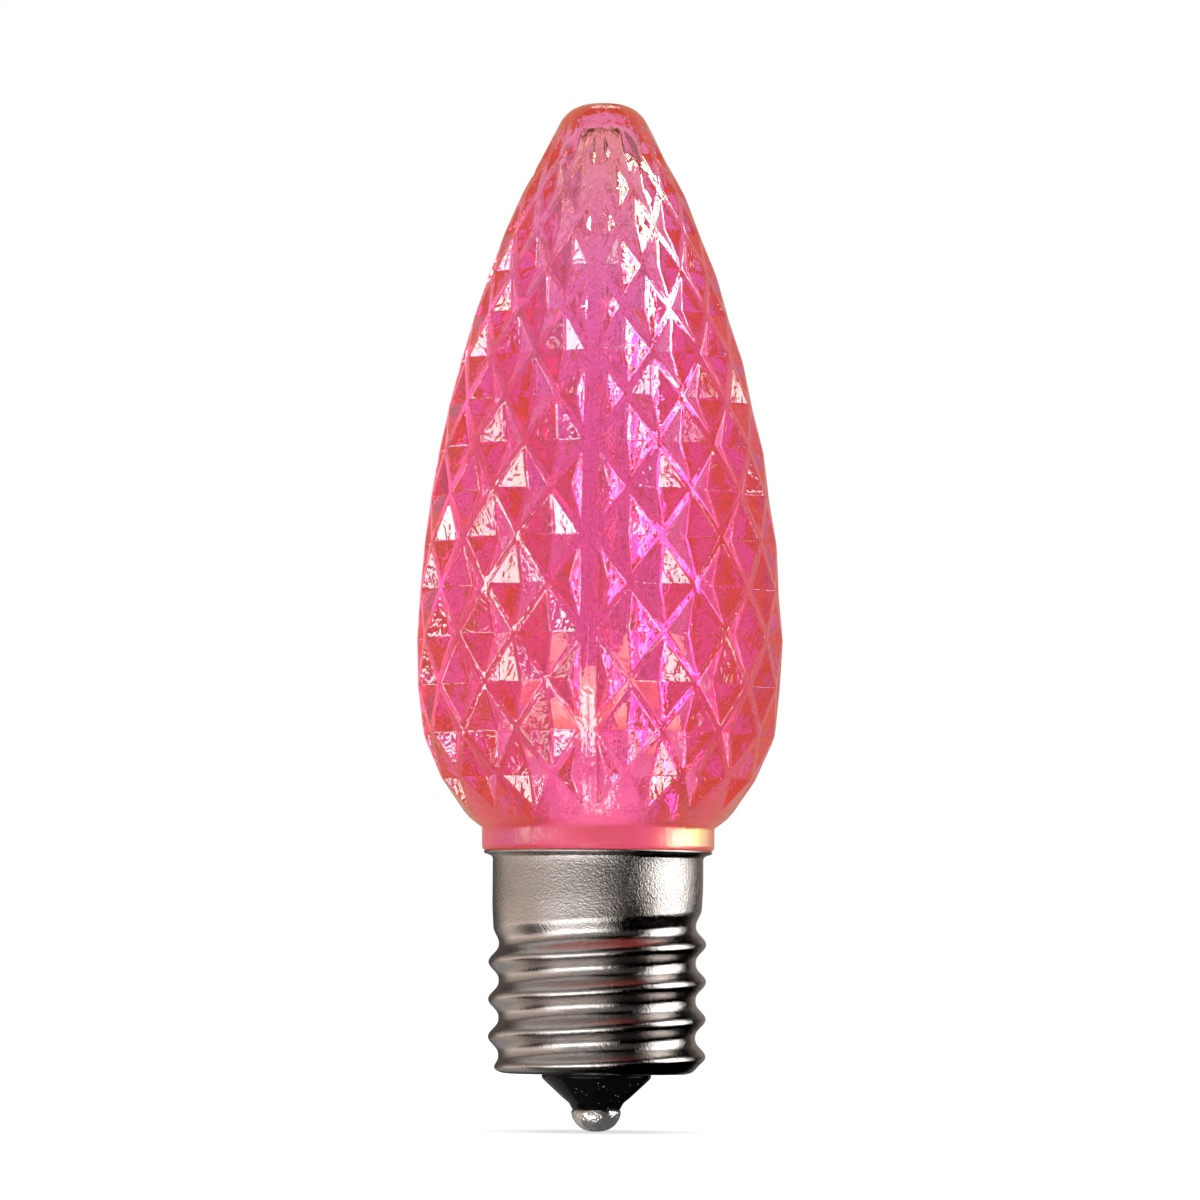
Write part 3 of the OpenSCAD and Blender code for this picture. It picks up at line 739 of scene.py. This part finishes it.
# What the metal mirrors: a dim wall and a low card on the left, a bright strip on the right
for name, az, el, level, tint in [
        ("left_table", (-132, -107), (-50, -22), 0.6, WARM), ("left_table_near", (-107, -60), (-30, -22), 0.5, WARM),
        ("left_back", (-165, -132), (-50, -15), 0.3, (1, 1, 1)),
        ("left_edge", (-180, -130), (-20, 30), 0.1, WARM), ("left_table_edge", (-130, -60), (-22, -4), 0.85, WARM),
        ("left_wall", (-130, -20), (-4, 18), 0.47, WARM), ("left_wall_high", (-130, -20), (18, 38), 0.2, WARM),
        ("left_ceiling", (-130, -10), (38, 62), 0.5, (1, 1, 1)), ("ceiling", (-130, 20), (62, 88), 0.45, (1, 1, 1)),
        ("front_card", (-60, 14), (-50, -22), 2.4, (1, 1, 1)), ("front_card_edge", (-60, -32), (-22, -5), 1.3, (1, 1, 1)),
        ("front_card_low", (-32, 14), (-22, -14), 1.5, (1, 1, 1)), ("front_table", (-32, 30), (-14, -4), 0.1, WARM),
        ("front_wall", (-20, 4), (-4, 20), 0.42, (1, 1, 1)), ("front_wall_end", (4, 24), (-4, 20), 0.18, WARM),
        ("front_gap", (24, 56), (-10, 20), 0.05, WARM), ("right_strip", (75, 112), (-10, 40), 4.2, (1, 1, 1)),
        ("far_edge", (150, 180), (-14, 20), 0.3, WARM), ("floor_left", (-150, 0), (-88, -52), 0.08, (1, 1, 1))]:
    panel(name, az, el, level, through=False, only=metal_only, tint=tint)
panel("bead_fill", (-180, 180), (-85, -10), 0.14, through=False, only=bead_only)
# What the lens mirrors softly
panel("front_low", (-62, 14), (-50, -8), 0.35, through=False, only=lens_only)
panel("left_soft", (-120, -40), (0, 50), 0.3, through=False, only=lens_only)
panel("left_rim", (-178, -105), (-60, 60), 0.5, through=False, only=lens_only, tint=(0.9, 1.0, 0.7))
panel("right_rim", (105, 178), (-60, 60), 0.5, through=False, only=lens_only, tint=(0.9, 1.0, 0.7))
# What shows through the lens only
panel("below", (-180, 180), (-89, -52), 1.2, glossy=False)
panel("front_low_through", (-62, 20), (-50, -8), 1.6, glossy=False)
panel("strip_through", (74, 104), (-14, 44), 3.0, glossy=False)
panel("rim_through", (126, 133), (-28, 20), 34.0, glossy=False, tint=(0.6, 1.0, 0.36))
panel("side_through", (101, 118), (-28, 18), 50.0, glossy=False, tint=(0.45, 1.0, 0.17))
panel("all_around", (-180, 180), (-89, 89), 0.04, glossy=False, dist=2.5, tint=(1.0, 0.5, 0.45))
panel("left_through", (-130, -62), (-40, 40), 0.5, glossy=False)
panel("behind", (148, 212), (-50, 45), 0.9, glossy=False, dist=2.2)
panel("behind_right", (112, 148), (-50, 45), 0.3, glossy=False, dist=2.2)
panel("behind_left", (212, 248), (-50, 45), 0.45, glossy=False, dist=2.2)
panel("top", (-180, 180), (62, 89), 0.6, glossy=False, dist=2.2, tint=(1.0, 0.9, 0.6))
panel("front_fill", (-60, 60), (-6, 45), 0.5, glossy=False, dist=2.2)
# Small lights that only the facets mirror
for k, (az, el, level) in enumerate([
        ((-78, -67), (0, 18), 14.0), ((-54, -45), (4, 14), 17.0), ((-34, -25), (-23, -4), 13.0),
        ((-81, -71), (-20, -10), 20.0), ((-13, 3), (-42, -10), 14.0), ((86, 94), (-5, 4), 12.0),
        ((38, 46), (-40, -32), 8.0), ((39, 46), (-6, 0), 6.0), ((14, 22), (-50, -44), 6.0),
        ((12, 18), (-2, 4), 6.0), ((-26, -20), (-2, 4), 6.0), ((67, 74), (10, 18), 6.0), ((18, 24), (-12, -6), 5.0),
        ((-10, 24), (-76, -61), 11.0), ((-104, -97), (-20, -12), 11.0), ((160, 202), (52, 70), 3.5)]):
    panel("facet_light_%d" % (k + 1), az, el, level, through=False, only=lens_only, dist=1.8, tint=(0.72, 1.0, 0.95))

# Camera at the photograph's viewing angle
AZ, DIST, CAM_Z, LOOK_Z = 3.55, 0.484, 0.011, 0.04022
cam_d = bpy.data.cameras.new("camera")
cam_d.sensor_width = 36
cam_d.sensor_fit = "AUTO"
cam_d.angle = 2 * math.radians(5.364)
cam_d.clip_start, cam_d.clip_end = 0.02, 20
cam = bpy.data.objects.new("camera", cam_d)
scene.collection.objects.link(cam)
a = math.radians(AZ)
pos = Vector((math.sin(a) * DIST, -math.cos(a) * DIST, CAM_Z))
cam.location = pos
q = (Vector((0, 0, LOOK_Z)) - pos).to_track_quat("-Z", "Y")
cam.rotation_euler = (q @ Matrix.Rotation(math.radians(0.43), 3, "Z").to_quaternion()).to_euler()
scene.camera = cam

bpy.context.view_layer.update()
